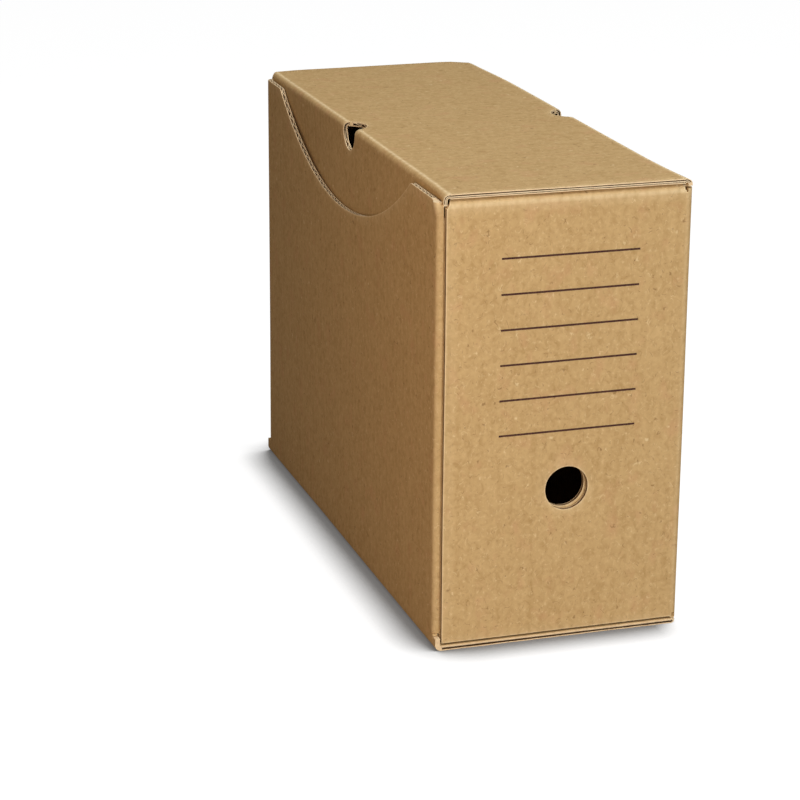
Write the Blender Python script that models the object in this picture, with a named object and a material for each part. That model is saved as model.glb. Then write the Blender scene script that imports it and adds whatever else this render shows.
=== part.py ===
"""Archive box folded from one die-cut blank of single-wall corrugated kraft board.

The front panel faces -Y, the lid is creased along the back wall's top edge, and the box rests on
z = 0 with the middle of its footprint at the origin. Each panel and flap between two creases is an
object of its own, and so is each glue line that holds the folded blank together.
"""

import math

import bmesh
import bpy
from mathutils import Matrix, Vector

# The outside of the closed box
BOX_WIDTH = 0.150
BOX_LENGTH = 0.370
BOX_HEIGHT = 0.268

# The board, its creases and what lies between two plies
BOARD = 0.003
CREASE_INNER_RADIUS = 0.0005
CREASE_GAP = 0.0003
REST_GAP = 0.0003
GLUE_LAYER = 0.0006
GLUE_FILM = 0.0003
GLUE_WIDTH = 0.008
GLUE_END_MARGIN = 0.012

# Floor: its long edges turn up as low lips, and its front edge stands a little proud
LIP_HEIGHT = 0.009
FLOOR_LIP = 0.0008

# Side walls: both have a long hollow in their top edge, where the lid's flap shows
WALL_DROP = 0.005
SCOOP_LENGTH = 0.280
SCOOP_DEPTH = 0.046
SCOOP_FROM_FRONT = 0.193
SCOOP_CORNER_RADIUS = 0.004

# Front: an outer panel glued over the left wall's inward flap, with a finger hole through both
INNER_FLAP_DROP = 0.014
INNER_FLAP_END_GAP = 0.004
FINGER_HOLE_DIAMETER = 0.026
FINGER_HOLE_HEIGHT = 0.0913
FINGER_HOLE_OFFSET = 0.0033
INNER_HOLE_SHIFT = -0.001

# Back: the side walls' rear flaps, glued inside the back wall
BACK_FLAP_DROP = 0.010
BACK_FLAP_PARTING = 0.010

# Dust flap: folded back under the lid from the front panel's top edge
DUST_FLAP_LENGTH = 0.060
DUST_FLAP_TAPER_DEG = 15
DUST_FLAP_PLAY = 0.0012

# Lid and its side flaps, which tuck inside the side walls
LID_PLAY = 0.0006
LID_FRONT_SETBACK = 0.001
LID_FLAP_DEPTH = 0.065
LID_FLAP_FRONT_PLAY = 0.0015
LID_FLAP_REAR_PLAY = 0.0009
LID_FLAP_TAPER = 0.010
LID_FLAP_CORNER = 0.016

# Round cut-outs folded over the lid's side creases, at mid-length
NOTCH_DIAMETER = 0.0244
NOTCH_FROM_FRONT = 0.1865
NOTCH_BELOW_CREASE = 0.002

# Counts, shares and one overrun for every cutter
CREASE_SEGMENTS = 6
SCOOP_SEGMENTS = 28
CORNER_SEGMENTS = 5
HOLE_SEGMENTS = 40
OVERRUN = 0.004
FRONT_GLUE_SHARES = (-0.80, -0.45, 0.60)
BACK_GLUE_SHARE = 0.50

# Planes that the sizes give
CREASE_RADIUS = BOARD + CREASE_INNER_RADIUS
SIDE = BOX_WIDTH / 2
WALL_INSIDE = SIDE - BOARD
LID_SIDE = WALL_INSIDE - LID_PLAY
FLOOR_FRONT = -BOX_LENGTH / 2
BACK = BOX_LENGTH / 2
PANEL_FRONT = FLOOR_FRONT + FLOOR_LIP
PANEL_INSIDE = PANEL_FRONT + BOARD
INNER_FRONT = PANEL_INSIDE + GLUE_LAYER
INNER_INSIDE = INNER_FRONT + BOARD
BACK_INSIDE = BACK - BOARD
BACK_FLAP_OUTSIDE = BACK_INSIDE - GLUE_LAYER
BACK_FLAP_INSIDE = BACK_FLAP_OUTSIDE - BOARD
LID_TOP = BOX_HEIGHT
LID_UNDER = LID_TOP - BOARD
DUST_TOP = LID_UNDER - REST_GAP
NOTCH_MIDDLE = FLOOR_FRONT + NOTCH_FROM_FRONT
WALL_BOTTOM = LIP_HEIGHT + CREASE_GAP
WALL_TOP = LID_TOP - WALL_DROP
INNER_TOP = LID_TOP - INNER_FLAP_DROP
BACK_FLAP_TOP = LID_TOP - BACK_FLAP_DROP

# Creases that a panel or flap turns about
LID_AXIS = Vector((0, BACK, LID_TOP))
DUST_AXIS = Vector((0, PANEL_FRONT + CREASE_RADIUS, DUST_TOP - CREASE_RADIUS))
LID_FLAP_AXIS = Vector((LID_SIDE - CREASE_RADIUS, 0, LID_TOP - CREASE_RADIUS))


def material(name, colour, roughness):
    """A plain board or glue surface; the colour is linear RGB."""
    made = bpy.data.materials.new(name)
    made.use_nodes = True
    shader = made.node_tree.nodes["Principled BSDF"]
    shader.inputs["Base Color"].default_value = (*colour, 1)
    shader.inputs["Roughness"].default_value = roughness
    shader.inputs["Metallic"].default_value = 0
    made.diffuse_color = (*colour, 1)
    return made


def arc(centre, radius, start_deg, end_deg, segments):
    """Points on a circle, both ends included."""
    step = (end_deg - start_deg) / segments
    turns = [math.radians(start_deg + step * i) for i in range(segments + 1)]
    return [(centre[0] + radius * math.cos(a), centre[1] + radius * math.sin(a)) for a in turns]


def crease(centre, start_deg, end_deg):
    """A quarter turn of board: its outer points, and its inner points on the way back."""
    outer = arc(centre, CREASE_RADIUS, start_deg, end_deg, CREASE_SEGMENTS)
    inner = arc(centre, CREASE_INNER_RADIUS, end_deg, start_deg, CREASE_SEGMENTS)
    return outer, inner


def mirrored(outline):
    """The outline on the other side of the box's middle plane."""
    return [(-u, v) for u, v in reversed(outline)]


def box_outline(low, high):
    return [(low[0], low[1]), (high[0], low[1]), (high[0], high[1]), (low[0], high[1])]


def prism(name, outline, axis, low, high):
    """A closed solid: the outline, in the two other axes in X, Y, Z order, drawn out along the axis."""
    mesh = bpy.data.meshes.new(name)
    shape = bmesh.new()
    corners = [list(point) for point in outline]
    for corner in corners:
        corner.insert(axis, low)
    face = shape.faces.new([shape.verts.new(corner) for corner in corners])
    grown = bmesh.ops.extrude_face_region(shape, geom=[face])["geom"]
    travel = [0, 0, 0]
    travel[axis] = high - low
    moved = [part for part in grown if isinstance(part, bmesh.types.BMVert)]
    bmesh.ops.translate(shape, vec=travel, verts=moved)
    bmesh.ops.recalc_face_normals(shape, faces=shape.faces)
    shape.to_mesh(mesh)
    shape.free()
    made = bpy.data.objects.new(name, mesh)
    bpy.context.scene.collection.objects.link(made)
    return made


def cut(target, cutter):
    """Takes the cutter's shape out of the target and keeps the cutter with it as a hidden guide."""
    cutter.hide_render = True
    cutter.display_type = "WIRE"
    cutter.parent = target
    cutter.matrix_parent_inverse = Matrix.Translation(-target.location)
    taken = target.modifiers.new(cutter.name, "BOOLEAN")
    taken.operation = "DIFFERENCE"
    taken.solver = "EXACT"
    taken.object = cutter


def finish(piece, surface, pivot=None, parent=None):
    """Gives the piece its material and shading, and puts its origin on the crease that it turns about."""
    piece.data.materials.append(surface)
    piece.data.shade_smooth()
    piece.data.set_sharp_from_angle(angle=math.radians(30))
    if pivot is not None:
        piece.data.transform(Matrix.Translation(-pivot))
        piece.location = pivot
    if parent is not None:
        piece.parent = parent
        piece.matrix_parent_inverse = Matrix.Translation(-parent.location)
    return piece


def make_floor(board):
    """The floor and its two turned-up long edges, as far as the slits at the corners."""
    outer, inner = crease((SIDE - CREASE_RADIUS, CREASE_RADIUS), -90, 0)
    right = [*outer, (SIDE, LIP_HEIGHT), (WALL_INSIDE, LIP_HEIGHT), *inner]
    outline = [*right, *mirrored(right)]
    floor = finish(prism("bottom_panel", outline, 1, FLOOR_FRONT, BACK), board)
    rear_start = BACK - CREASE_RADIUS - CREASE_GAP
    low, high = (-SIDE + BOARD + CREASE_GAP, rear_start), (WALL_INSIDE - CREASE_GAP, BACK + OVERRUN)
    cut(floor, prism("rear_crease_room", box_outline(low, high), 2, -OVERRUN, CREASE_RADIUS + OVERRUN))
    return floor


def scoop_outline():
    """The hollow in a side wall's top edge: an arc that eases into the straight edge at both ends."""
    half = SCOOP_LENGTH / 2
    radius = (half**2 + SCOOP_DEPTH**2) / (2 * SCOOP_DEPTH)
    middle = FLOOR_FRONT + SCOOP_FROM_FRONT
    centre = (middle, WALL_TOP - SCOOP_DEPTH + radius)
    ease = SCOOP_CORNER_RADIUS
    reach = math.sqrt((radius + ease) ** 2 - (radius - SCOOP_DEPTH + ease) ** 2)
    lean = math.degrees(math.asin(reach / (radius + ease)))
    front = arc((middle - reach, WALL_TOP - ease), ease, 90, 90 - lean, CORNER_SEGMENTS)
    hollow = arc(centre, radius, -90 - lean, -90 + lean, SCOOP_SEGMENTS)
    rear = arc((middle + reach, WALL_TOP - ease), ease, 90 + lean, 90, CORNER_SEGMENTS)
    top = WALL_TOP + OVERRUN
    return [(middle - reach, top), *front, *hollow[1:-1], *rear, (middle + reach, top)]


def make_side_walls(board):
    """Both walls end in a crease at the back. Only the left one also turns in at the front."""
    back_outer, back_inner = crease((-SIDE + CREASE_RADIUS, BACK_FLAP_OUTSIDE - CREASE_RADIUS), 180, 90)
    front_outer, front_inner = crease((-SIDE + CREASE_RADIUS, INNER_FRONT + CREASE_RADIUS), -90, -180)
    right_start = PANEL_FRONT + CREASE_RADIUS + CREASE_GAP
    plans = {
        "left_wall": [*front_outer, *back_outer, *back_inner, *front_inner],
        "right_wall": mirrored([(-SIDE, right_start), *back_outer, *back_inner, (-WALL_INSIDE, right_start)]),
    }
    for name, plan in plans.items():
        wall = finish(prism(name, plan, 2, WALL_BOTTOM, WALL_TOP), board)
        cut(wall, prism(name + "_scoop", scoop_outline(), 0, -SIDE - OVERRUN, SIDE + OVERRUN))


def make_back(board):
    """The back wall with its bottom and top creases, and the two rear flaps glued inside it."""
    low_outer, low_inner = crease((BACK - CREASE_RADIUS, CREASE_RADIUS), -90, 0)
    top_outer, top_inner = crease((BACK - CREASE_RADIUS, LID_TOP - CREASE_RADIUS), 0, 90)
    profile = [*low_outer, *top_outer, *top_inner, *low_inner]
    finish(prism("back_wall", profile, 0, -LID_SIDE, LID_SIDE), board)
    root = SIDE - CREASE_RADIUS - CREASE_GAP
    plan = box_outline((-root, BACK_FLAP_INSIDE), (-BACK_FLAP_PARTING / 2, BACK_FLAP_OUTSIDE))
    for name, outline in (("left_back_flap", plan), ("right_back_flap", mirrored(plan))):
        finish(prism(name, outline, 2, WALL_BOTTOM, BACK_FLAP_TOP), board)


def finger_hole(name, shift):
    """A cutter through one ply of the front; the inner ply's hole lies a little off the outer one's."""
    centre = (FINGER_HOLE_OFFSET + shift, FINGER_HOLE_HEIGHT - shift)
    circle = arc(centre, FINGER_HOLE_DIAMETER / 2, 0, 360, HOLE_SEGMENTS)[:-1]
    return prism(name, circle, 1, PANEL_FRONT - OVERRUN, INNER_INSIDE + OVERRUN)


def make_front(board):
    """The outer panel with its crease into the right wall, over the left wall's inward flap."""
    outer, inner = crease((SIDE - CREASE_RADIUS, PANEL_FRONT + CREASE_RADIUS), -90, 0)
    plan = [(-LID_SIDE, PANEL_FRONT), *outer, *inner, (-LID_SIDE, PANEL_INSIDE)]
    panel_top = DUST_TOP - CREASE_RADIUS - CREASE_GAP
    panel = finish(prism("front_panel", plan, 2, BOARD + REST_GAP, panel_top), board)
    low = (LID_SIDE, PANEL_FRONT - OVERRUN)
    high = (SIDE + OVERRUN, PANEL_FRONT + CREASE_RADIUS + OVERRUN)
    cut(panel, prism("lip_room", box_outline(low, high), 2, -OVERRUN, WALL_BOTTOM))
    cut(panel, finger_hole("outer_finger_hole", 0))

    root = SIDE - CREASE_RADIUS - CREASE_GAP
    far = WALL_INSIDE - INNER_FLAP_END_GAP
    flap_plan = box_outline((-root, INNER_FRONT), (far, INNER_INSIDE))
    flap = finish(prism("front_inner_flap", flap_plan, 2, WALL_BOTTOM, INNER_TOP), board)
    cut(flap, finger_hole("inner_finger_hole", INNER_HOLE_SHIFT))


def make_dust_flap(board):
    """The front panel's top crease and the flap that lies under the lid, narrower towards its end."""
    outer, inner = crease((DUST_AXIS.y, DUST_AXIS.z), 180, 90)
    end = PANEL_FRONT + DUST_FLAP_LENGTH
    profile = [*outer, (end, DUST_TOP), (end, DUST_TOP - BOARD), *inner]
    half = LID_SIDE - BOARD - DUST_FLAP_PLAY
    flap = prism("front_dust_flap", profile, 0, -half, half)
    taper = math.tan(math.radians(DUST_FLAP_TAPER_DEG))
    shape = bmesh.new()
    shape.from_mesh(flap.data)
    every = [*shape.verts, *shape.edges, *shape.faces]
    bmesh.ops.bisect_plane(shape, geom=every, plane_co=DUST_AXIS, plane_no=(0, 1, 0))
    for vert in shape.verts:
        narrower = max(0, vert.co.y - DUST_AXIS.y) * taper
        vert.co.x -= math.copysign(narrower, vert.co.x)
    shape.to_mesh(flap.data)
    shape.free()
    return finish(flap, board, DUST_AXIS)


def cut_notch(piece, side):
    """A round hole over one of the lid's side creases: its upper part in the top, the rest in the flap."""
    radius = NOTCH_DIAMETER / 2
    saved = CREASE_RADIUS * (1 - math.pi / 4)
    beyond = LID_SIDE - saved + NOTCH_BELOW_CREASE
    below = LID_TOP - saved - NOTCH_BELOW_CREASE
    top = arc((side * beyond, NOTCH_MIDDLE), radius, 0, 360, HOLE_SEGMENTS)[:-1]
    flank = arc((NOTCH_MIDDLE, below), radius, 0, 360, HOLE_SEGMENTS)[:-1]
    inside, outside = sorted((side * (LID_SIDE - CREASE_RADIUS), side * (LID_SIDE + OVERRUN)))
    word = "left" if side < 0 else "right"
    if piece.name == "lid_panel":
        cut(piece, prism(word + "_notch_top", top, 2, LID_UNDER - OVERRUN, LID_TOP + OVERRUN))
    cut(piece, prism(word + "_notch_side_" + piece.name, flank, 0, inside, outside))


def make_lid(board):
    """The lid with its rounded side creases, and the two flaps that hang inside the side walls."""
    outer, inner = crease((LID_FLAP_AXIS.x, LID_FLAP_AXIS.z), 0, 90)
    right = [*outer, *mirrored(outer), *mirrored(inner), *inner]
    lid_front = PANEL_FRONT + LID_FRONT_SETBACK
    lid_rear = BACK - CREASE_RADIUS - CREASE_GAP
    lid = finish(prism("lid_panel", right, 1, lid_front, lid_rear), board, LID_AXIS)
    for side in (-1, 1):
        cut_notch(lid, side)

    top = LID_FLAP_AXIS.z - CREASE_GAP
    bottom = LID_TOP - LID_FLAP_DEPTH
    swing = math.hypot(BACK - INNER_INSIDE, LID_TOP - INNER_TOP) - LID_FLAP_FRONT_PLAY
    front_top = BACK - math.sqrt(swing**2 - (LID_TOP - top) ** 2)
    front_low = BACK - math.sqrt(swing**2 - LID_FLAP_DEPTH**2) + LID_FLAP_TAPER
    rear = BACK_FLAP_INSIDE - LID_FLAP_REAR_PLAY
    corner = LID_FLAP_CORNER
    front_arc = arc((front_low + corner, bottom + corner), corner, 180, 270, CORNER_SEGMENTS)
    rear_arc = arc((rear - LID_FLAP_TAPER - corner, bottom + corner), corner, 270, 360, CORNER_SEGMENTS)
    outline = [(front_top, top), *front_arc, *rear_arc, (rear, top)]
    for side, name in ((-1, "lid_left_flap"), (1, "lid_right_flap")):
        near, far = sorted((side * (LID_SIDE - BOARD), side * LID_SIDE))
        flap = prism(name, outline, 0, near, far)
        pivot = Vector((side * LID_FLAP_AXIS.x, 0, LID_FLAP_AXIS.z))
        cut_notch(finish(flap, board, pivot, lid), side)


def make_glue_lines(glue):
    """Flat strips of set glue, upright between the two plies of the front and of the back."""
    bottom = WALL_BOTTOM + GLUE_END_MARGIN
    front = PANEL_INSIDE + (GLUE_LAYER - GLUE_FILM) / 2
    rear = BACK_INSIDE - (GLUE_LAYER + GLUE_FILM) / 2
    lines = {}
    for word, share in zip(("left", "middle", "right"), FRONT_GLUE_SHARES):
        lines["front_glue_line_" + word] = (share * SIDE, front, INNER_TOP)
    for word, side in (("left", -1), ("right", 1)):
        lines["back_glue_line_" + word] = (side * BACK_GLUE_SHARE * SIDE, rear, BACK_FLAP_TOP)
    for name, (middle, near, ply_top) in lines.items():
        plan = box_outline((middle - GLUE_WIDTH / 2, near), (middle + GLUE_WIDTH / 2, near + GLUE_FILM))
        finish(prism(name, plan, 2, bottom, ply_top - GLUE_END_MARGIN), glue)


for old in list(bpy.data.objects):
    bpy.data.objects.remove(old, do_unlink=True)

kraft_board = material("kraft_board", (0.552, 0.371, 0.162), 0.85)
set_glue = material("set_glue", (0.60, 0.47, 0.27), 0.45)
make_floor(kraft_board)
make_side_walls(kraft_board)
make_back(kraft_board)
make_front(kraft_board)
make_dust_flap(kraft_board)
make_lid(kraft_board)
make_glue_lines(set_glue)
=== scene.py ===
"""The looks of an archive box folded from one die-cut blank of single-wall corrugated kraft board.

Every panel is cut flat, its raw edges are opened to show the fluting between the two liners, and then
it is folded round its creases, as the real blank is. The sections follow the order of folding: floor,
walls, back, front, lid, printing, glue, and then the camera, the floor of the studio and the lamps.
"""

import math

import bmesh
import bpy
import numpy as np
from mathutils import Matrix, Vector, noise


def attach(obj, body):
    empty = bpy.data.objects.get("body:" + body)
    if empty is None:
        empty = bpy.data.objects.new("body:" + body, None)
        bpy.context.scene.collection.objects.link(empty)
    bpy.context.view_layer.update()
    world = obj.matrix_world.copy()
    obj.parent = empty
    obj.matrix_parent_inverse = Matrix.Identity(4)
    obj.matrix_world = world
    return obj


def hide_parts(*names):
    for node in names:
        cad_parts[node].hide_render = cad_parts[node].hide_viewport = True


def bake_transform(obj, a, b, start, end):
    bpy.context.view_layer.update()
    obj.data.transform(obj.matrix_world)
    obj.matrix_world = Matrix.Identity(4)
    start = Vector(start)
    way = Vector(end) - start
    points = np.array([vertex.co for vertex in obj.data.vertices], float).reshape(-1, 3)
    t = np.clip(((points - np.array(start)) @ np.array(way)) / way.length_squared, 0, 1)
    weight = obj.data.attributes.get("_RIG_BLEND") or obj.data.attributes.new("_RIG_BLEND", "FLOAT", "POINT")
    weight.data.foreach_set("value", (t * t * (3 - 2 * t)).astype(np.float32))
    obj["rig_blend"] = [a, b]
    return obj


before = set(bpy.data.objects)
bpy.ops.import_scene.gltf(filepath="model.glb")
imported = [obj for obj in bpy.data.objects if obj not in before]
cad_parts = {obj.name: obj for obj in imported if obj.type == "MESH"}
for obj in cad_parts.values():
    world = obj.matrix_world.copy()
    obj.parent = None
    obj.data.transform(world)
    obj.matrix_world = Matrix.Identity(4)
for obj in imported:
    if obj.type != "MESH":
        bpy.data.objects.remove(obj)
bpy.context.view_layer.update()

# FLOOR
# The bottom panel of the blank, 3 mm single-wall board: two kraft liners glued to a fluted sheet. Its
# long edges are creased up into the side walls, and slits at the front leave short stubs standing.
# Its raw front edge shows the fluting from one stub, under the whole front, to the other.
BOX_WIDTH, BOX_LENGTH, BOX_HEIGHT = 0.150, 0.370, 0.268
BOARD = 0.003
# A cut frays and spreads the papers, so liners and medium are drawn about twice their real thickness.
LINER = 0.00066
MEDIUM = 0.00058
FLUTE_PITCH = 0.0064
SLOT_DEPTH = 0.0037
CREASE_RADIUS = 0.0035
QUARTER = CREASE_RADIUS * math.pi / 2
SIDE = BOX_WIDTH / 2
BACK = BOX_LENGTH / 2
FRONT = -BOX_LENGTH / 2
LIP_TOP = 0.009
STUB_LENGTH = 0.0040
STUB_SLIT = 0.0045
STUB_DROP = 0.0014
LID_SIDE = 0.0714
FLOOR_DRIFT = -0.0001
SHEET_RULING = 0.008
BORDER = 0.0009
NEAR_ZERO = 0.00001
ON_RUN = 0.00003


def linear(hex_colour):
    """An sRGB hex colour as linear RGB with full alpha."""
    parts = [int(hex_colour[i : i + 2], 16) / 255 for i in (1, 3, 5)]
    return (*(p / 12.92 if p <= 0.04045 else ((p + 0.055) / 1.055) ** 2.4 for p in parts), 1)


def add_node(tree, kind, settings=None, **links):
    """Adds a node, sets its values by attribute or socket name, and links sockets named in links."""
    made = tree.nodes.new(kind)
    for key, value in (settings or {}).items():
        if isinstance(key, str) and hasattr(made, key):
            setattr(made, key, value)
        else:
            made.inputs[key].default_value = value
    for key, source in links.items():
        socket = made.inputs[int(key[1:])] if key[1:].isdigit() else made.inputs[key.replace("_", " ")]
        tree.links.new(source, socket)
    return made


def new_material(name):
    """An empty node material with its output; the caller adds the shader."""
    made = bpy.data.materials.new(name)
    made.use_nodes = True
    made.node_tree.nodes.clear()
    return made, made.node_tree, made.node_tree.nodes.new("ShaderNodeOutputMaterial")


def kraft_paper(name, light, middle, dark, wear_and_highlight, roughness):
    """Unbleached kraft paper: matt, clouded, with flecks, hair-like fibres and bark specks.

    The pattern lies on the sheet as it was before folding: x runs across the flutes, y along them.
    """
    made, tree, output = new_material(name)
    sheet = add_node(tree, "ShaderNodeAttribute", {"attribute_name": "sheet"})
    wear_and_painted_light = add_node(tree, "ShaderNodeAttribute", {"attribute_name": "wear_and_painted_light"})

    def scaled(across, along):
        settings = {"vector_type": "POINT", "Scale": (1 / across, 1 / along, 1)}
        return add_node(tree, "ShaderNodeMapping", settings, Vector=sheet.outputs["Vector"])

    def clouds(across, along, detail, curl=0.0):
        settings = {"Scale": 1.0, "Detail": detail, "Roughness": 0.55, "Distortion": curl}
        place = scaled(across, along).outputs["Vector"]
        return add_node(tree, "ShaderNodeTexNoise", settings, Vector=place).outputs["Fac"]

    def spread(source, low, high, at_low, at_high):
        settings = {1: low, 2: high, 3: at_low, 4: at_high}
        return add_node(tree, "ShaderNodeMapRange", settings, s0=source).outputs[0]

    def mixed(under, over, share):
        settings = {"data_type": "RGBA", 7: linear(over)}
        return add_node(tree, "ShaderNodeMix", settings, s0=share, s6=under).outputs[2]

    def product(first, second):
        return add_node(tree, "ShaderNodeMath", {"operation": "MULTIPLY"}, s0=first, s1=second).outputs[0]

    def added(share, part, whole):
        settings = {"operation": "MULTIPLY_ADD", 1: share}
        return add_node(tree, "ShaderNodeMath", settings, s0=part, s2=whole).outputs[0]

    # Each pattern's size is in metres across and along the flutes: the pulp lies a little that way.
    broad = clouds(0.024, 0.040, 3)
    mottles = clouds(0.0044, 0.0052, 4, 1.0)
    flecks = clouds(0.0018, 0.0024, 1)
    grain = clouds(0.0006, 0.0006, 1)
    # The liner sinks a little between the flutes: one band to a flute.
    bands = {"wave_type": "BANDS", "bands_direction": "X", "Scale": 2 * math.pi / 20}
    washboard = add_node(
        tree,
        "ShaderNodeTexWave",
        {**bands, "Distortion": 0.5, "Detail": 1.0},
        Vector=scaled(FLUTE_PITCH, 0.10).outputs["Vector"],
    ).outputs["Fac"]

    tone = added(0.06, washboard, added(0.25, broad, mottles))
    ramp = add_node(tree, "ShaderNodeValToRGB", {}, Fac=spread(tone, 0.30, 1.02, 0.0, 1.0))
    ramp.color_ramp.elements[0].color = linear(dark)
    ramp.color_ramp.elements[1].color = linear(light)
    ramp.color_ramp.elements.new(0.5).color = linear(middle)
    pinker = spread(clouds(0.013, 0.019, 2), 0.56, 0.72, 0.0, 0.45)
    colour = mixed(ramp.outputs["Color"], "#C89C70", pinker)
    colour = mixed(colour, "#8F6C42", spread(flecks, 0.62, 0.80, 0.0, 0.30))
    colour = mixed(colour, "#DFC596", spread(flecks, 0.40, 0.24, 0.0, 0.45))

    # Pale and dark fibres: the thin lines where a cloud passes its middle value, broken into lengths.
    for tint, size, breaks in (("#E6CFA0", 0.0052, 0.0036), ("#836038", 0.0065, 0.0030)):
        swing = clouds(size, 1.3 * size, 1)
        hair = add_node(tree, "ShaderNodeMath", {"operation": "SUBTRACT", 1: 0.5}, s0=swing)
        hair = add_node(tree, "ShaderNodeMath", {"operation": "ABSOLUTE"}, s0=hair.outputs[0])
        hair = spread(hair.outputs[0], 0.004, 0.014, 0.6, 0.0)
        lengths = spread(clouds(breaks, 1.3 * breaks, 1), 0.56, 0.66, 0.0, 1.0)
        colour = mixed(colour, tint, product(hair, lengths))
    bark_place = scaled(0.012, 0.012).outputs["Vector"]
    bark = add_node(tree, "ShaderNodeTexVoronoi", {"Scale": 1.0}, Vector=bark_place).outputs["Distance"]
    colour = mixed(colour, "#5E4128", spread(bark, 0.018, 0.045, 0.6, 0.0))

    # Pale scuffing along the cut edges is the paper's own; along the creases the same pale tint is a painted
    # highlight, broken into blocks by the flutes.
    rubbed_and_highlit = product(wear_and_painted_light.outputs["Fac"], spread(mottles, 0.30, 0.60, 0.80, 1.0))
    colour = mixed(colour, wear_and_highlight, product(rubbed_and_highlit, spread(washboard, 0.0, 0.5, 0.75, 1.0)))

    relief = added(0.50, flecks, added(0.18, washboard, grain))
    bump = add_node(tree, "ShaderNodeBump", {"Strength": 0.4, "Distance": 0.00012}, Height=relief)
    shader = add_node(
        tree,
        "ShaderNodeBsdfPrincipled",
        {"Roughness": roughness, "IOR": 1.45, "Specular IOR Level": 0.28},
        Base_Color=colour,
        Normal=bump.outputs["Normal"],
    )
    tree.links.new(shader.outputs[0], output.inputs["Surface"])
    return made


def folded(along, into, start, heading_deg, runs):
    """Where a point of the flat sheet lies once the sheet is folded. A run is a length and its turn."""
    place = Vector(start)
    heading = math.radians(heading_deg)
    for index, (length, turn_deg) in enumerate(runs):
        taken = along if index == len(runs) - 1 else min(along, length)
        inward = Vector((-math.sin(heading), math.cos(heading)))
        if turn_deg:
            middle = place + inward * CREASE_RADIUS
            heading += math.radians(turn_deg) * taken / length
            inward = Vector((-math.sin(heading), math.cos(heading)))
            place = middle - inward * CREASE_RADIUS
        else:
            place += Vector((math.cos(heading), math.sin(heading))) * taken
        along -= taken
        if along <= 0:
            break
    return place + inward * into


def laid(axis, start, heading_deg, runs):
    """The way from the flat sheet to the folded box for a profile that runs on along one axis."""

    def place(along, across, into):
        point = list(folded(along, into, start, heading_deg, runs))
        point.insert(axis, across)
        return Vector(point)

    return place


DRIFT_SEED = 7
noise.seed_set(DRIFT_SEED)


def settled(place):
    """Board that has been handled is never quite flat: it drifts by a few tenths of a millimetre."""
    return place + noise.noise_vector(place * 9) * 0.0003


def eased(value, start, end):
    """0 before start, 1 after end and a smooth step between them."""
    share = min(max((value - start) / (end - start), 0), 1)
    return share * share * (3 - 2 * share)


def distance_to(points, run):
    """How far each flat point lies from a run of cuts."""
    run = np.array(run, float)
    near, step = run[:-1], run[1:] - run[:-1]
    gap = points[:, None, :] - near[None]
    share = np.clip((gap * step).sum(2) / (step**2).sum(1), 0, 1)
    return np.linalg.norm(gap - share[:, :, None] * step, axis=2).min(1)


def circle(middle, radius, count=56):
    """A closed run round a punched hole, clockwise, so that the board lies on its left."""
    turns = [-2 * math.pi * i / count for i in range(count + 1)]
    return [(middle[0] + radius * math.cos(a), middle[1] + radius * math.sin(a)) for a in turns]


def to_object(name, shape, materials):
    """A finished mesh object at the origin with its materials."""
    mesh = bpy.data.meshes.new(name)
    shape.to_mesh(mesh)
    shape.free()
    made = bpy.data.objects.new(name, mesh)
    bpy.context.scene.collection.objects.link(made)
    for surface in materials:
        mesh.materials.append(surface)
    return made


def punched(shape, holes):
    """Punches round holes through a flat blank."""
    blank = to_object("blank", shape, [])
    for middle, radius in holes:
        tool = bmesh.new()
        rim = [tool.verts.new((x, y, -BOARD)) for x, y in circle(middle, radius)[:-1]]
        grown = bmesh.ops.extrude_face_region(tool, geom=[tool.faces.new(rim)])["geom"]
        moved = [part for part in grown if isinstance(part, bmesh.types.BMVert)]
        bmesh.ops.translate(tool, vec=(0, 0, 3 * BOARD), verts=moved)
        bmesh.ops.recalc_face_normals(tool, faces=tool.faces)
        punch = to_object("punch", tool, [])
        cut = blank.modifiers.new("cut", "BOOLEAN")
        cut.operation = "DIFFERENCE"
        cut.solver = "EXACT"
        cut.object = punch
    bpy.context.view_layer.update()
    result = bmesh.new()
    result.from_mesh(blank.evaluated_get(bpy.context.evaluated_depsgraph_get()).data)
    for used in [blank, *[m.object for m in blank.modifiers]]:
        bpy.data.objects.remove(used, do_unlink=True)
    return result


def wear_and_highlight_at(values, place, width, strength):
    """Pale scuffing with a painted highlight, strongest along one line of the sheet."""
    return strength * np.exp(-(((values - place) / width) ** 2))


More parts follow.
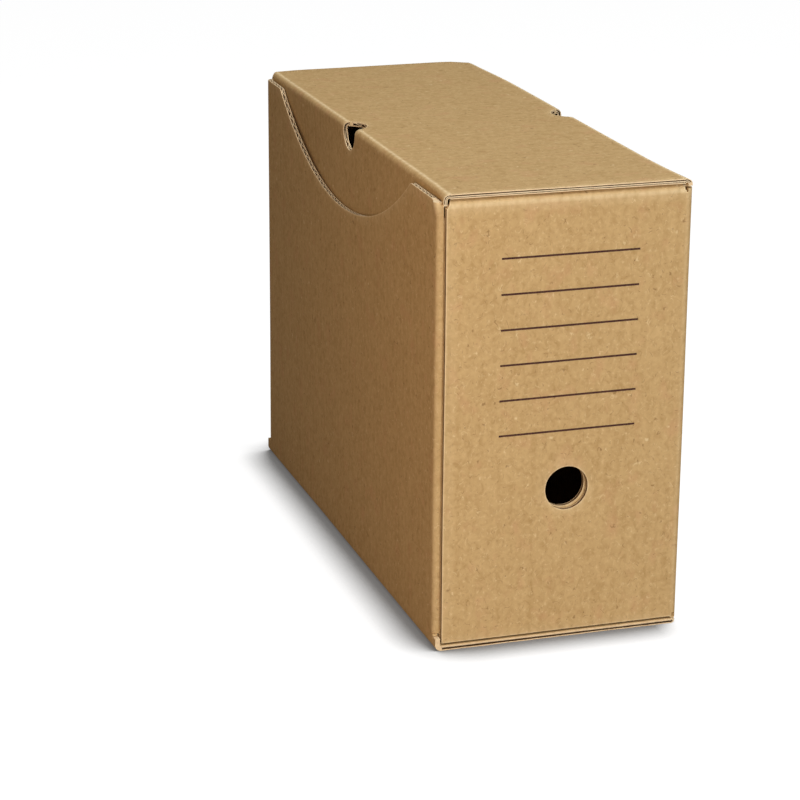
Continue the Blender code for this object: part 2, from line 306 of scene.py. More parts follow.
def board_piece(
    name, outline, raw, place, sheet, creases=(), holes=(), shaped=None, wear_and_highlight=None, crushed=(), seams=()
):
    """A panel of board: cut flat, opened along its raw edges, ruled for bending, folded and settled.

    outline is the flat shape, raw the runs of it that show the fluting, place the way to the folded
    box, sheet gives the pattern's place, creases are the flat places of its folds, worn gives the pale
    scuffing and painted highlights along flat places beyond the paling of the raw edges, crushed are
    cuts that are pressed shut, and seams are the (axis, place) of the ends at which the fluting carries
    on in the next piece.
    """
    shape = bmesh.new()
    face = shape.faces.new([shape.verts.new((x, y, 0)) for x, y in outline])
    grown = bmesh.ops.extrude_face_region(shape, geom=[face])["geom"]
    moved = [part for part in grown if isinstance(part, bmesh.types.BMVert)]
    bmesh.ops.translate(shape, vec=(0, 0, BOARD), verts=moved)
    bmesh.ops.recalc_face_normals(shape, faces=shape.faces)
    if holes:
        shape = punched(shape, holes)
    shape.normal_update()

    faces = [f for f in shape.faces if abs(f.normal.z) > 0.5]
    even = {"use_even_offset": True, "use_boundary": True}
    bmesh.ops.inset_region(shape, faces=faces, thickness=BORDER, **even)
    shape.normal_update()

    def cut_faces(run):
        sides = [f for f in shape.faces if abs(f.normal.z) < 0.5 and f.material_index == 0]
        middles = np.array([f.calc_center_median().xy for f in sides])
        return [f for f, gap in zip(sides, distance_to(middles, run)) if gap < ON_RUN]

    for run in raw:
        sides = cut_faces(run)
        rims = bmesh.ops.inset_region(shape, faces=sides, thickness=LINER, **even)
        for rim in rims["faces"]:
            rim.material_index = 1
        # The slot's walls take the dark inner-face material: a painted shade for the shadow inside the opened
        # edge.
        walls = bmesh.ops.inset_region(shape, faces=sides, thickness=NEAR_ZERO, depth=-SLOT_DEPTH, **even)
        for wall in [*walls["faces"], *sides]:
            wall.material_index = 2
    for run in crushed:
        for side in cut_faces(run):
            side.material_index = 1
    for axis, seam in seams:
        for vert in shape.verts:
            if 0.0001 < vert.co.z < BOARD - 0.0001 and abs(vert.co[axis] - seam) < 1.3 * LINER:
                vert.co[axis] = seam

    low = [min(v.co[i] for v in shape.verts) for i in (0, 1)]
    high = [max(v.co[i] for v in shape.verts) for i in (0, 1)]
    for axis in (0, 1):
        count = math.ceil((high[axis] - low[axis]) / SHEET_RULING)
        rules = [low[axis] + (high[axis] - low[axis]) * i / count for i in range(1, count)]
        if axis == 0:
            for crease in creases:
                rules = [r for r in rules if abs(r - crease) > 0.6 * QUARTER]
                rules += [crease + QUARTER * (i / 8 - 0.5) for i in range(9)]
        for rule in rules:
            normal = [0, 0, 0]
            normal[axis] = 1
            spot = [rule if i == axis else 0 for i in range(3)]
            every = [*shape.verts, *shape.edges, *shape.faces]
            bmesh.ops.bisect_plane(shape, geom=every, plane_co=spot, plane_no=normal)

    flat = np.array([v.co for v in shape.verts])
    edge_gap = np.full(len(flat), 1.0)
    for run in [*raw, *crushed]:
        edge_gap = np.minimum(edge_gap, distance_to(flat[:, :2], run))
    sheet_place = np.array([(*sheet(x, y), z) for x, y, z in flat])
    wear_and_painted_light = 0.8 * np.exp(-edge_gap / 0.0006)
    # The creases' bands add painted highlights to the pale scuffing of the raw edges.
    if wear_and_highlight:
        wear_and_painted_light = wear_and_painted_light + wear_and_highlight(flat[:, 0], flat[:, 1])
    wear_and_painted_light = np.clip(wear_and_painted_light, 0, 1)

    for vert, gap in zip(shape.verts, edge_gap):
        x, y, z = vert.co
        crush = math.exp(-gap / 0.0009) * (0.10 + 0.14 * noise.noise(Vector((x * 160, y * 160, 5))))
        z = BOARD / 2 + (z - BOARD / 2) * (1 - crush)
        spot = place(x, y, z)
        vert.co = settled(shaped(spot) if shaped else spot)
    bmesh.ops.recalc_face_normals(shape, faces=shape.faces)
    made = to_object(name, shape, [kraft_liner, cut_liner, slot_shade])
    marks = made.data.attributes
    marks.new("sheet", "FLOAT_VECTOR", "POINT").data.foreach_set("vector", sheet_place.ravel())
    marks.new("wear_and_painted_light", "FLOAT", "POINT").data.foreach_set("value", wear_and_painted_light)
    made.data.shade_smooth()
    made.data.set_sharp_from_angle(angle=math.radians(35))
    return made


def fluting_piece(name, raw, place, sheet, shaped=None, drift=0.0, pale_depth=0.0006, recess=0.00004):
    """The wavy sheet between the liners, as deep as the raw edges show it.

    drift moves its waves, bleached is the depth over which its cut edge keeps the paper's pale colour
    before it darkens further in as a painted shade, and recess is how far it lies behind the liners'
    edges.
    """
    step = FLUTE_PITCH / 12
    rows = round(SLOT_DEPTH / step)
    joined = bmesh.new()
    for run in raw:
        points = [Vector(p) for p in run]
        closed = (points[0] - points[-1]).length < NEAR_ZERO
        ways = [(b - a).normalized() for a, b in zip(points, points[1:])]
        befores = [ways[-1] if closed else ways[0], *ways]
        afters = [*ways, ways[0] if closed else ways[-1]]
        inward = []
        for before, after in zip(befores, afters):
            normal = Vector((-before.y - after.y, before.x + after.x))
            inward.append(normal / (1 + before.dot(after)))
        columns = []
        for i in range(len(ways)):
            count = max(1, math.ceil((points[i + 1] - points[i]).length / step))
            for k in range(count + (i == len(ways) - 1)):
                share = k / count
                way = inward[i].lerp(inward[i + 1], share)
                columns.append((points[i].lerp(points[i + 1], share), way))
        strip = bmesh.new()
        depth_shade_mark = strip.verts.layers.float.new("wear_and_painted_light")
        sheet_mark = strip.verts.layers.float_vector.new("sheet")
        bmesh.ops.create_grid(strip, x_segments=len(columns) - 1, y_segments=rows - 1, size=1)
        for vert in strip.verts:
            column = round((vert.co.x + 1) / 2 * (len(columns) - 1))
            row = round((vert.co.y + 1) / 2 * (rows - 1))
            at, way = columns[column]
            depth = recess + row / (rows - 1) * (SLOT_DEPTH - 0.0003 - recess)
            spot = at + way * depth
            across, lengthwise = sheet(*spot)
            swing = (BOARD - 2 * LINER - MEDIUM) / 2 - 0.00002
            wander = drift + 0.00045 * noise.noise(Vector((across * 30, lengthwise * 30, 2)))
            into = BOARD / 2 + swing * math.sin(2 * math.pi * (across + wander) / FLUTE_PITCH)
            vert.co = (spot.x, spot.y, into)
            vert[sheet_mark] = (across, lengthwise, into)
            # Pale at the cut, where the fresh fibres show, and darker further in as a painted shade.
            vert[depth_shade_mark] = math.exp(-((depth / pale_depth) ** 2))
        if closed:
            bmesh.ops.remove_doubles(strip, verts=strip.verts, dist=NEAR_ZERO)
        bmesh.ops.recalc_face_normals(strip, faces=strip.faces)
        bmesh.ops.solidify(strip, geom=strip.faces, thickness=MEDIUM)
        for vert in strip.verts:
            spot = place(*vert.co)
            vert.co = settled(shaped(spot) if shaped else spot)
        bmesh.ops.recalc_face_normals(strip, faces=strip.faces)
        flutes = bpy.data.meshes.new("strip")
        strip.to_mesh(flutes)
        strip.free()
        joined.from_mesh(flutes)
        bpy.data.meshes.remove(flutes)
    made = to_object(name, joined, [fluting_medium_painted_shade])
    made.data.shade_smooth()
    made.data.set_sharp_from_angle(angle=math.radians(40))
    return made


# Kraft liner: the mottled brown face paper of the board. The cut edge of a liner is paler and rougher.
kraft_liner = kraft_paper("kraft_liner", "#D1B17D", "#C4A370", "#B08E5A", "#EBD2A4", 0.82)
cut_liner = kraft_paper("kraft_liner_cut_edge", "#E8CDA2", "#DCBA8E", "#BE9466", "#ECD4AC", 0.92)
# The liners' inner faces in the slots are dark brown as a painted shade, not as the paper's own colour.
slot_shade = kraft_paper("kraft_liner_inner_face_painted_shade", "#7C5B3A", "#68492C", "#503620", "#9A7850", 0.95)
# The fluting medium is dark brown as a painted shade deep between the liners; near its cut edge the pale tint
# gives its own fresh colour.
fluting_medium_painted_shade = kraft_paper("recycled_fluting_medium_painted_shade", "#96714A", "#80603E", "#614529", "#EBD5B0", 0.92)

LIP_RUN = LIP_TOP - CREASE_RADIUS
FLOOR_RUN = 2 * (SIDE - CREASE_RADIUS)
floor_runs = [(LIP_RUN, 0), (QUARTER, 90), (FLOOR_RUN, 0), (QUARTER, 90), (LIP_RUN, 0)]
floor_span = sum(length for length, _ in floor_runs)
floor_place = laid(1, (-SIDE, LIP_TOP), -90, floor_runs)
floor_rear = BACK - CREASE_RADIUS
corner_run = LIP_RUN + QUARTER
right_ring = floor_span - corner_run
stub_end = FRONT + STUB_LENGTH
floor_outline = [
    (STUB_DROP, FRONT),
    (corner_run, FRONT),
    (right_ring, FRONT),
    (right_ring + 0.40 * QUARTER, FRONT + 0.0006),
    (right_ring + 0.75 * QUARTER, FRONT + 0.0026),
    (right_ring + QUARTER, FRONT + 0.0046),
    (floor_span, FRONT + 0.0048),
    (floor_span, BACK),
    (right_ring, BACK),
    (right_ring, floor_rear),
    (corner_run, floor_rear),
    (corner_run, BACK),
    (0, BACK),
    (0, stub_end + 0.0010),
    (STUB_SLIT, stub_end + 0.0005),
    (STUB_SLIT, stub_end + 0.0003),
    (STUB_DROP, stub_end),
]
floor_raw = [floor_outline[1:4]]
stub_crushed = [(STUB_SLIT, stub_end), (STUB_DROP, stub_end), (STUB_DROP, FRONT), (corner_run, FRONT)]
floor_crushed = [stub_crushed, floor_outline[3:6]]


def floor_sheet(along, across):
    return (across, along - floor_span / 2)


def pressed(spot):
    """The right stub is squashed to a wedge under the foot of the front panel's crease."""
    share = eased(-spot.y, 0.1805, 0.1812) * eased(spot.x, 0.0712, 0.0716)
    limit = 0.0031 - 0.50 * (spot.x - 0.0715)
    return spot + Vector((0, 0, share * min(limit - spot.z, 0)))


floor_creases = (LIP_RUN + QUARTER / 2, floor_span - LIP_RUN - QUARTER / 2)
floor_board = board_piece(
    "floor_board",
    floor_outline,
    floor_raw,
    floor_place,
    floor_sheet,
    floor_creases,
    shaped=pressed,
    crushed=floor_crushed,
)
floor_fluting = fluting_piece(
    "floor_fluting", floor_raw, floor_place, floor_sheet, pressed, FLOOR_DRIFT, pale_depth=0.0012
)
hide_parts("bottom_panel")
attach(floor_board, "box")
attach(floor_fluting, "box")

# SIDE WALLS
# Each wall is creased up from the floor and has a long hollow die-cut in its top edge, where the lid's
# flap shows. The left wall turns in at the front behind the front panel; both turn in at the back. The
# top edge is raw, so it shows the upright flutes end on.
WALL_TOP = 0.263
WALL_FOOT = LIP_TOP
SLIT = 0.0002
WALL_FRONT = -0.1806
WALL_REAR = 0.1814
SCOOP_MIDDLE = FRONT + 0.193
SCOOP_HALF = 0.140
SCOOP_DEPTH = 0.046
SCOOP_EASE = 0.004
SCOOP_STEPS = 60
EASE_STEPS = 8
CRUSHED_TIP = 0.007
BRUISE = 0.0020


def wall_top_run():
    """The top edge from the front to the back as (place along the box, height)."""
    radius = (SCOOP_HALF**2 + SCOOP_DEPTH**2) / (2 * SCOOP_DEPTH)
    reach = math.sqrt((radius + SCOOP_EASE) ** 2 - (radius - SCOOP_DEPTH + SCOOP_EASE) ** 2)
    lean = math.asin(reach / (radius + SCOOP_EASE))
    run = []
    for i in range(EASE_STEPS + 1):
        turn = lean * i / EASE_STEPS
        height = WALL_TOP - SCOOP_EASE * (1 - math.cos(turn))
        run.append((SCOOP_MIDDLE - reach + SCOOP_EASE * math.sin(turn), height))
    for i in range(1, SCOOP_STEPS):
        turn = lean * (2 * i / SCOOP_STEPS - 1)
        height = WALL_TOP - SCOOP_DEPTH + radius * (1 - math.cos(turn))
        run.append((SCOOP_MIDDLE + radius * math.sin(turn), height))
    for i in range(EASE_STEPS + 1):
        turn = lean * (1 - i / EASE_STEPS)
        height = WALL_TOP - SCOOP_EASE * (1 - math.cos(turn))
        run.append((SCOOP_MIDDLE + reach - SCOOP_EASE * math.sin(turn), height))
    return run


SHEET_EDGE = SIDE - CREASE_RADIUS + QUARTER + LIP_RUN - LIP_TOP
OVERLAP = 0.0003
left_plain = WALL_REAR - WALL_FRONT - 2 * CREASE_RADIUS
left_runs = [(OVERLAP, 0), (QUARTER, 90), (left_plain, 0), (QUARTER, 90), (OVERLAP, 0)]
left_span = sum(length for length, _ in left_runs)
left_place = laid(2, (-SIDE + CREASE_RADIUS + OVERLAP, WALL_REAR), 180, left_runs)
left_turn = OVERLAP + QUARTER
top_on_left = [(left_turn + WALL_REAR - CREASE_RADIUS - y, z) for y, z in wall_top_run()]
slit_start = left_span - left_turn - 0.0012
left_tip = (left_span - left_turn - CRUSHED_TIP, WALL_TOP)
left_outline = [
    (0, WALL_FOOT),
    (slit_start, WALL_FOOT),
    (slit_start + 0.0006, WALL_FOOT + SLIT),
    (left_span, WALL_FOOT + SLIT),
    (left_span, WALL_TOP),
    left_tip,
    *top_on_left,
    (0, WALL_TOP),
]
left_crushed = [[(left_span, WALL_TOP), left_tip]]
left_raw = [[left_tip, *top_on_left, (0, WALL_TOP)]]


def left_sheet(along, up):
    return (left_turn + WALL_REAR - CREASE_RADIUS - along, -SHEET_EDGE - up)


def bruised(spot):
    """The tip of the left wall's front crease is bent a little outwards."""
    out = BRUISE * eased(spot.z, 0.2590, WALL_TOP)
    out *= eased(-spot.y, 0.1725, 0.1780) * eased(-spot.x, 0.0712, 0.0740)
    return spot + Vector((-out, -0.5 * out, 0))


def left_wear_and_highlight(along, up):
    # A pale crushed tip and a band beside the front crease: scuffing, and a painted highlight where the bend
    # would catch the light.
    tip = np.exp(-(((along - left_span + left_turn) / 0.0040) ** 2)) * np.exp((up - WALL_TOP) / 0.0040)
    return tip + wear_and_highlight_at(along, left_span - left_turn + 0.4 * QUARTER, 0.0016, 0.25)


left_creases = (OVERLAP + QUARTER / 2, left_span - OVERLAP - QUARTER / 2)
left_board = board_piece(
    "left_wall_board",
    left_outline,
    left_raw,
    left_place,
    left_sheet,
    left_creases,
    shaped=bruised,
    wear_and_highlight=left_wear_and_highlight,
    crushed=left_crushed,
)
left_fluting = fluting_piece("left_wall_fluting", left_raw, left_place, left_sheet, bruised)
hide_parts("left_wall")
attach(left_board, "box")
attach(left_fluting, "box")

RIGHT_START = -0.1797
right_plain = WALL_REAR - CREASE_RADIUS - RIGHT_START
right_runs = [(right_plain, 0), (QUARTER, 90), (OVERLAP, 0)]
right_span = sum(length for length, _ in right_runs)
right_place = laid(2, (SIDE, RIGHT_START), 90, right_runs)
top_on_right = [(y - RIGHT_START, z) for y, z in reversed(wall_top_run())]
right_top = [(right_span, WALL_TOP), *top_on_right, (0, WALL_TOP)]
right_outline = [(0, WALL_FOOT), (right_span, WALL_FOOT), *right_top]
right_raw = [right_top]


def right_sheet(along, up):
    return (along + RIGHT_START, SHEET_EDGE + up)


right_creases = (right_plain + QUARTER / 2,)
right_board = board_piece(
    "right_wall_board", right_outline, right_raw, right_place, right_sheet, right_creases
)
right_fluting = fluting_piece("right_wall_fluting", right_raw, right_place, right_sheet)
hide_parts("right_wall")
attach(right_board, "box")
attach(right_fluting, "box")

# REAR FLAPS AND BACK WALL
# The walls' rear flaps lie flat inside the back wall and are glued to it. The back wall is creased up
# from the floor, and its raw side edges stand beside the walls' rear creases.
FLAP_ROOT = SIDE - CREASE_RADIUS - OVERLAP
REAR_FLAP_TOP = 0.258
REAR_PARTING = 0.0052
flap_reach = FLAP_ROOT - REAR_PARTING
for side, word in ((-1, "left"), (1, "right")):
    start = (-REAR_PARTING if side < 0 else FLAP_ROOT, WALL_REAR)
    flap_place = laid(2, start, 180, [(flap_reach, 0)])
    foot = WALL_FOOT + OVERLAP
    corners = [(0, foot), (flap_reach, foot), (flap_reach, REAR_FLAP_TOP), (0, REAR_FLAP_TOP)]
    flap_raw = [[*corners[2:], *corners[:2]] if side < 0 else corners]

    def flap_sheet(along, up, side=side):
        return (WALL_REAR + along, side * (SHEET_EDGE + up))

    flap_board = board_piece(word + "_rear_flap_board", corners, flap_raw, flap_place, flap_sheet)
    flap_fluting = fluting_piece(word + "_rear_flap_fluting", flap_raw, flap_place, flap_sheet)
    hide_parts(word + "_back_flap")
    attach(flap_board, "box")
    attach(flap_fluting, "box")

LID_TOP = BOX_HEIGHT
BACK_WALL_TOP = 0.262
back_rise = BACK_WALL_TOP - CREASE_RADIUS
back_runs = [(QUARTER, 90), (back_rise, 0)]
back_span = QUARTER + back_rise
back_place = laid(0, (BACK - CREASE_RADIUS, 0), 0, back_runs)
back_outline = [(0, -LID_SIDE), (back_span, -LID_SIDE), (back_span, LID_SIDE), (0, LID_SIDE)]
back_raw = [back_outline[:2], back_outline[2:]]


def back_sheet(along, across):
    return (BACK - CREASE_RADIUS + along, across)


back_board = board_piece("back_wall_board", back_outline, back_raw, back_place, back_sheet, (QUARTER / 2,))
back_fluting = fluting_piece("back_wall_fluting", back_raw, back_place, back_sheet)
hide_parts("back_wall")
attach(back_board, "box")
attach(back_fluting, "box")

# FRONT
# Two plies: the left wall's inward flap, and over it the front panel, creased into the right wall and
# glued. A finger hole is punched through both, not quite in line. The panel's left edge is raw, and a
# flap creased back from its top lies under the lid.
HOLE_RADIUS = 0.013
HOLE_X, HOLE_Z = 0.0033, 0.0913
INNER_HOLE_SHIFT = -0.001
INNER_TOP = 0.254
INNER_END = 0.068
inner_start = -SIDE + CREASE_RADIUS + OVERLAP
inner_span = INNER_END - inner_start
inner_place = laid(2, (inner_start, WALL_FRONT), 0, [(inner_span, 0)])
INNER_FOOT = 0.0044
inner_outline = [(0, INNER_FOOT), (inner_span, INNER_FOOT), (inner_span, INNER_TOP), (0, INNER_TOP)]
inner_hole = ((HOLE_X + INNER_HOLE_SHIFT - inner_start, HOLE_Z - INNER_HOLE_SHIFT), HOLE_RADIUS)
inner_raw = [inner_outline, circle(*inner_hole)]


def inner_sheet(along, up):
    return (WALL_FRONT - along, -SHEET_EDGE - up)


inner_board = board_piece(
    "front_inner_flap_board", inner_outline, inner_raw, inner_place, inner_sheet, holes=[inner_hole]
)
inner_fluting = fluting_piece(
    "front_inner_flap_fluting", inner_raw, inner_place, inner_sheet, pale_depth=0.0002, recess=0.0006
)
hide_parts("front_inner_flap")
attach(inner_board, "box")
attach(inner_fluting, "box")

PANEL_LEFT = -0.0708
PANEL_FACE = -0.1842
PANEL_FOOT = 0.0042
PANEL_TOP = 0.2602
PANEL_CORNER_TOP = 0.2624
PANEL_CORNER_FOOT = 0.0018
PANEL_NOTCH = 0.0064
DUST_HALF = 0.0677
panel_plain = SIDE - CREASE_RADIUS - PANEL_LEFT
panel_runs = [(panel_plain, 0), (QUARTER, 90), (RIGHT_START - PANEL_FACE - CREASE_RADIUS, 0)]
panel_span = sum(length for length, _ in panel_runs)
panel_place = laid(2, (PANEL_LEFT, PANEL_FACE), 0, panel_runs)
panel_turned = panel_plain + QUARTER
panel_outline = [
    (0, PANEL_FOOT),
    (panel_plain + 0.0002, PANEL_FOOT),
    (panel_plain + 0.0003, PANEL_NOTCH),
    (panel_plain + 0.0021, PANEL_NOTCH),
    (panel_turned, PANEL_CORNER_FOOT),
    (panel_turned + 0.0001, WALL_FOOT),
    (panel_span, WALL_FOOT),
    (panel_span, PANEL_CORNER_TOP),
    (panel_plain + 0.0001, PANEL_CORNER_TOP),
    (panel_plain, PANEL_TOP),
    (0, PANEL_TOP),
]
panel_hole = ((HOLE_X - PANEL_LEFT, HOLE_Z), HOLE_RADIUS)
panel_raw = [[panel_outline[-1], *panel_outline[:2]], circle(*panel_hole)]


def panel_sheet(along, up):
    return (RIGHT_START - (panel_span - along), SHEET_EDGE + up)


def panel_wear_and_highlight(along, up):
    # Bands beside the right crease and below the top crease: scuffing, and painted highlights where the bends
    # catch the light.
    inner_side = wear_and_highlight_at(along, panel_plain + 0.0003, 0.0009, 0.30)
    outer_side = wear_and_highlight_at(along, panel_turned, 0.0012, 0.30)
    return inner_side + outer_side + wear_and_highlight_at(up, PANEL_TOP + 0.0008, 0.0016, 0.75)


panel_board = board_piece(
    "front_panel_board",
    panel_outline,
    panel_raw,
    panel_place,
    panel_sheet,
    (panel_plain + QUARTER / 2,),
    [panel_hole],
    wear_and_highlight=panel_wear_and_highlight,
)
panel_fluting = fluting_piece(
    "front_panel_fluting", panel_raw, panel_place, panel_sheet, pale_depth=0.0002, recess=0.0006
)
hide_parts("front_panel")
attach(panel_board, "box")
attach(panel_fluting, "box")

DUST_TOP = 0.2647
DUST_LENGTH = 0.0565
DUST_TAPER = math.tan(math.radians(15))
dust_runs = [(DUST_LENGTH, 0), (QUARTER, 90), (DUST_TOP - CREASE_RADIUS - PANEL_TOP, 0)]
dust_span = sum(length for length, _ in dust_runs)
dust_place = laid(0, (PANEL_FACE + CREASE_RADIUS + DUST_LENGTH, DUST_TOP), 180, dust_runs)
dust_end = DUST_HALF - DUST_LENGTH * DUST_TAPER
dust_ring = [DUST_LENGTH + share * QUARTER for share in (0, 0.35, 0.90, 1)] + [dust_span]
dust_left = list(zip(dust_ring, (-DUST_HALF, -0.0687, -0.0693, -0.0698, -0.0700)))
dust_right = list(zip(dust_ring, (DUST_HALF, 0.0692, 0.0700, 0.0705, 0.0707)))
dust_outline = [(0, -dust_end), *dust_left, *reversed(dust_right), (0, dust_end)]
dust_raw = [[*dust_outline[-2:], *dust_outline[:2]]]
dust_crushed = [dust_outline[1:6], dust_outline[6:11]]


def dust_sheet(along, across):
    return (RIGHT_START - (panel_span - (across - PANEL_LEFT)), SHEET_EDGE + PANEL_TOP + dust_span - along)


def dust_wear_and_highlight(along, across):
    # The top crease's pale band: scuffing, and a painted highlight.
    return wear_and_highlight_at(along, dust_span - 0.0008, 0.0016, 0.75)


dust_creases = (DUST_LENGTH + QUARTER / 2,)
dust_board = board_piece(
    "dust_flap_board",
    dust_outline,
    dust_raw,
    dust_place,
    dust_sheet,
    dust_creases,
    wear_and_highlight=dust_wear_and_highlight,
    crushed=dust_crushed,
)
dust_fluting = fluting_piece("dust_flap_fluting", dust_raw, dust_place, dust_sheet)
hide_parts("front_dust_flap")
dust_bend = {
    "start": (0, PANEL_FACE, PANEL_TOP + 0.0008),
    "end": (0, PANEL_FACE + CREASE_RADIUS, DUST_TOP),
}
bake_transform(dust_board, "box", "dust_flap", **dust_bend)
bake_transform(dust_fluting, "box", "dust_flap", **dust_bend)

# LID
# The lid is creased along the back wall's top edge and lies on the front's top crease. Its side flaps
# are creased down inside the walls, and a round hole is punched over each side crease at mid-length.
# Its raw front edge carries on down round both creases, which spread a little in front of the walls.
LID_FRONT = -0.1840
LID_HALF = 0.0674
FOLD_LINE = 0.0684
NOTCH_RADIUS = 0.0122
NOTCH_Y = FRONT + 0.1865
NOTCH_BEYOND = 0.002
NOTCH_STEPS = 72
LEFT_FLARE, RIGHT_FLARE = 0.0014, 0.0028
FLARE_START = -0.1770
FLARE_END = -0.1835
LEFT_DROOP, RIGHT_DROOP = 0.0005, 0.0016
LID_DRIFT = -0.0006
lid_rise = LID_TOP - CREASE_RADIUS - BACK_WALL_TOP
lid_plain = BACK - CREASE_RADIUS - LID_FRONT
lid_runs = [(lid_rise, 0), (QUARTER, 90), (lid_plain, 0)]
lid_span = sum(length for length, _ in lid_runs)
lid_place = laid(0, (BACK, BACK_WALL_TOP), 90, lid_runs)
lid_turn = lid_rise + QUARTER
lid_side_run = [
    (0, 0.0705),
    (lid_rise, 0.0700),
    (lid_rise + 0.5 * QUARTER, 0.0690),
    (lid_turn, 0.0676),
    (lid_turn + 0.0020, LID_HALF),
    (lid_span, LID_HALF),
]
lid_outline = [*((x, -y) for x, y in lid_side_run), *reversed(lid_side_run)]
notch_half = LID_SIDE - CREASE_RADIUS + QUARTER / 2 + NOTCH_BEYOND
notch_along = lid_turn + BACK - CREASE_RADIUS - NOTCH_Y
lid_holes = [((notch_along, side * notch_half), NOTCH_RADIUS) for side in (-1, 1)]


def part_of(run, inside):
    """The unbroken stretch of a closed run that passes the test."""
    kept = [inside(*p) for p in run[:-1]]
    first = next(i for i in range(len(kept)) if kept[i] and not kept[i - 1])
    around = run[first:-1] + run[:first]
    return [p for p in around if inside(*p)]


def trimmed(run, axis, limit):
    """The run with its two ends carried on to a straight edge."""
    ends = []
    for end, before in ((run[0], run[1]), (run[-1], run[-2])):
        share = (limit - end[axis]) / (end[axis] - before[axis])
        ends.append(tuple(e + (e - b) * share for e, b in zip(end, before)))
    return [ends[0], *run, ends[1]]


lid_raw = [lid_outline[5:7]]
for middle, radius in lid_holes:
    arc = part_of(circle(middle, radius, NOTCH_STEPS), lambda x, y: abs(y) < LID_HALF)
    lid_raw.append(trimmed(arc, 1, math.copysign(LID_HALF, middle[1])))


def lid_sheet(along, across):
    return (BACK - CREASE_RADIUS + lid_turn - along, across)


def flared(spot):
    """Spreads the side creases in front of the walls, and lets the lid's rear corners hang a little."""
    start = FLARE_START + 0.055 * eased(spot.z, 0.2635, 0.2665)
    ahead = min(max((start - spot.y) / (start - FLARE_END), 0), 1)
    outer = min(max((abs(spot.x) - 0.060) / 0.011, 0), 1)
    flare, droop = (RIGHT_FLARE, RIGHT_DROOP) if spot.x > 0 else (LEFT_FLARE, LEFT_DROOP)
    droop *= eased(abs(spot.x), 0.050, LID_SIDE) * eased(spot.y, 0.100, BACK)
    droop *= eased(spot.z, BACK_WALL_TOP, 0.2655)
    return spot + Vector((math.copysign(flare * ahead**2 * outer, spot.x), 0, -droop))


def leaning(spot):
    """The left flap also leans inwards at one place, away from the back of the scoop."""
    lean = 0.0012 * math.exp(-(((spot.y - 0.105) / 0.050) ** 2)) * (1 - eased(spot.z, 0.242, 0.262))
    return flared(spot) + Vector((lean, 0, 0))


def lid_wear_and_highlight(along, across):
    # A bright line along each side crease: scuffing, and a painted highlight.
    return wear_and_highlight_at(abs(across), FOLD_LINE, 0.0010, 1.0)


lid_board = board_piece(
    "lid_board",
    lid_outline,
    lid_raw,
    lid_place,
    lid_sheet,
    (lid_rise + QUARTER / 2,),
    lid_holes,
    flared,
    lid_wear_and_highlight,
    seams=((1, -LID_HALF), (1, LID_HALF)),
)
lid_fluting = fluting_piece(
    "lid_fluting", lid_raw, lid_place, lid_sheet, flared, LID_DRIFT, pale_depth=0.0003
)
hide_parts("lid_panel")
lid_bend = {"start": (0, BACK, LID_TOP - CREASE_RADIUS), "end": (0, BACK - CREASE_RADIUS, LID_TOP)}
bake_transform(lid_board, "box", "lid", **lid_bend)
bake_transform(lid_fluting, "box", "lid", **lid_bend)

FLAP_DROP = 0.065
LEFT_STUB, RIGHT_STUB = 0.0030, 0.0008
OPEN_RING = 0.0050
PINCH = 0.28
BEND_DEPTH = 0.012
FLAP_FRONT_TOP = -0.1763
FLAP_FRONT_FOOT = -0.1605
FLAP_REAR_TOP = 0.1775
FLAP_REAR_FOOT = 0.1675
FLAP_CORNER = 0.016
CORNER_STEPS = 8
edge_flat = LID_SIDE - CREASE_RADIUS - LID_HALF
flap_fall = FLAP_DROP - CREASE_RADIUS
flap_runs = [(edge_flat, 0), (QUARTER, 90), (flap_fall, 0)]
flap_span = sum(length for length, _ in flap_runs)
ring_end = edge_flat + QUARTER


def corner_run_at(middle, first_deg):
    turns = [math.radians(first_deg + 90 * i / CORNER_STEPS) for i in range(CORNER_STEPS + 1)]
    return [(middle[0] + FLAP_CORNER * math.cos(a), middle[1] + FLAP_CORNER * math.sin(a)) for a in turns]


front_corner = corner_run_at((flap_span - FLAP_CORNER, FLAP_FRONT_FOOT + FLAP_CORNER), -90)
rear_corner = corner_run_at((flap_span - FLAP_CORNER, FLAP_REAR_FOOT - FLAP_CORNER), 0)
flap_hole = ((QUARTER / 2 + NOTCH_BEYOND + edge_flat, NOTCH_Y), NOTCH_RADIUS)
flap_notch = trimmed(part_of(circle(*flap_hole, NOTCH_STEPS), lambda x, y: x > 0), 0, 0)
flap_crease = (edge_flat + QUARTER / 2,)
flat_flap_place = laid(1, (-LID_HALF, LID_TOP), 180, flap_runs)


def flap_wear_and_highlight(along, across):
    # The same bright line on the flap's side of the crease: scuffing, and a painted highlight.
    return wear_and_highlight_at(along, FOLD_LINE - LID_HALF, 0.0010, 1.0)


def pinched_place(along, across, into):
    """The crease is pressed thinner at its front end."""
    thinner = PINCH * eased(along, 0, 0.4 * QUARTER) * eased(-across, 0.1775, 0.1825)
    return flat_flap_place(along, across, into * (1 - thinner))


def mirrored_place(place):
    """The same flap on the other side of the lid."""

    def other(along, across, into):
        spot = place(along, across, into)
        return Vector((-spot.x, spot.y, spot.z))

    return other


